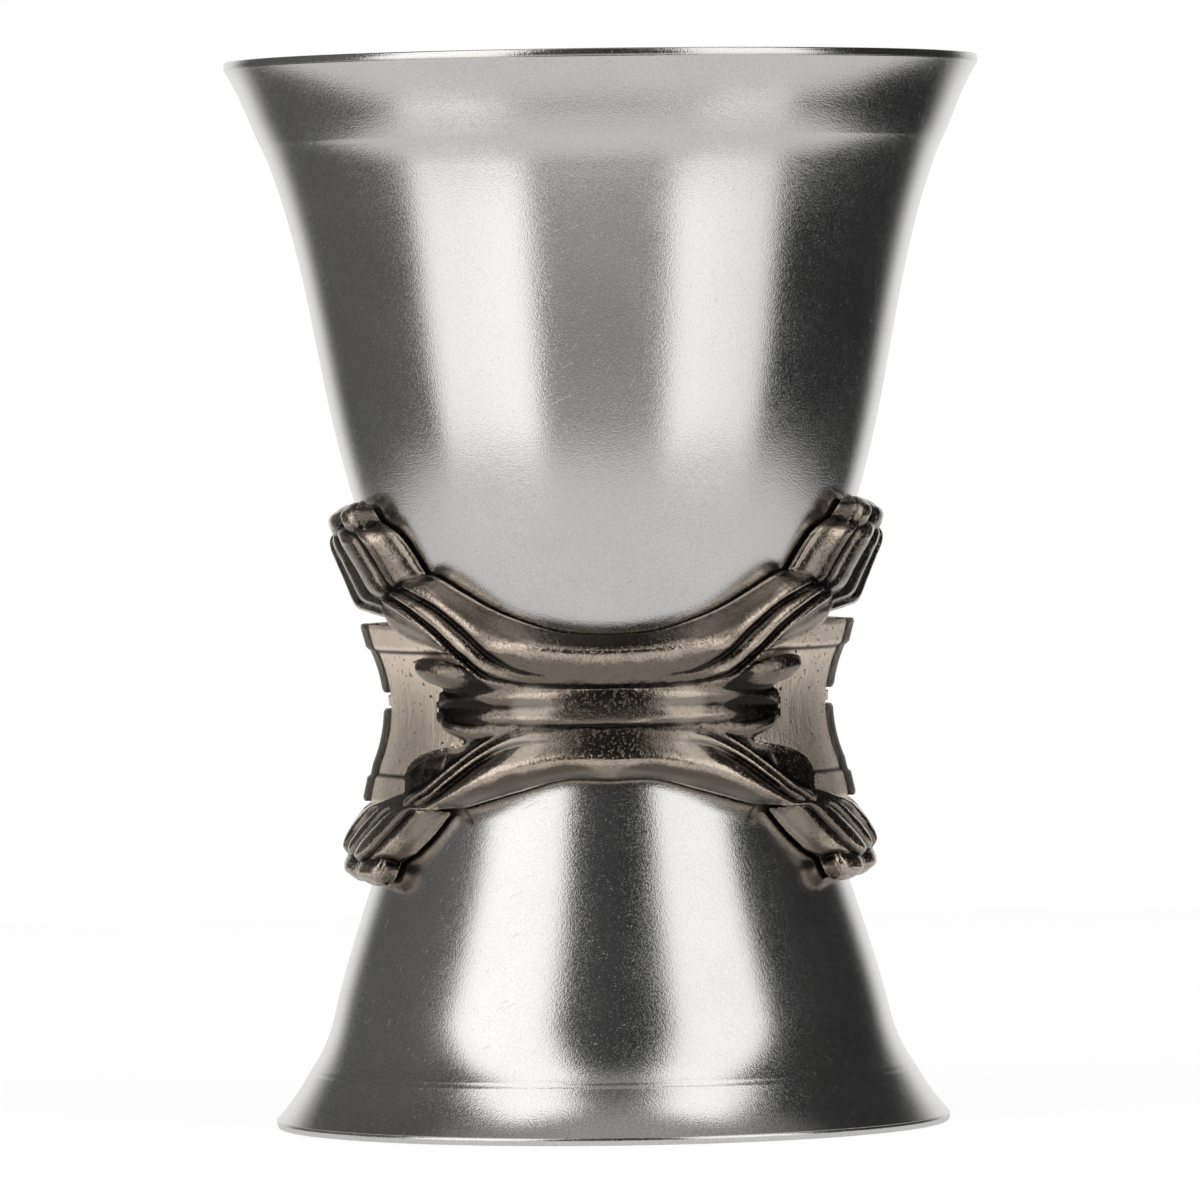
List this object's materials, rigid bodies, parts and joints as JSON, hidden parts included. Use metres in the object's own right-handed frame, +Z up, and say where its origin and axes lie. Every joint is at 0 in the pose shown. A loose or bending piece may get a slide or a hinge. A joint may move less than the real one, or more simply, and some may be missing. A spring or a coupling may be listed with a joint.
{
  "type": "cocktail jigger",
  "caption": "Double-ended spirit measure: a large and a small flared metal cup joined foot to foot, with a cast acanthus leaf collar round the waist.",
  "frame": {"origin": "centre of the small cup's rim, on the surface that the jigger stands on", "axes": "+Z up along the common axis of the cups, front with the middle of one leaf mount towards -Y, +X to the viewer's right"},
  "size_m": [0.0566, 0.0566, 0.08],
  "materials": {
    "cup_metal": "satin, finely scratched",
    "solder": "dull, hidden",
    "collar_panel": "antiqued, brushed upright",
    "collar_cast": "antiqued casting, dark in its hollows"
  },
  "bodies": {
    "root": {"upper_cup": "cup_metal", "lower_cup": "cup_metal", "foot_solder": "solder", "left_shell": "collar_panel", "right_shell": "collar_panel", "left_upper_tablet": "collar_panel", "left_lower_tablet": "collar_panel", "right_upper_tablet": "collar_panel", "right_lower_tablet": "collar_panel", "front_leaf_mount": "collar_cast", "back_leaf_mount": "collar_cast"}
  },
  "joints": []
}
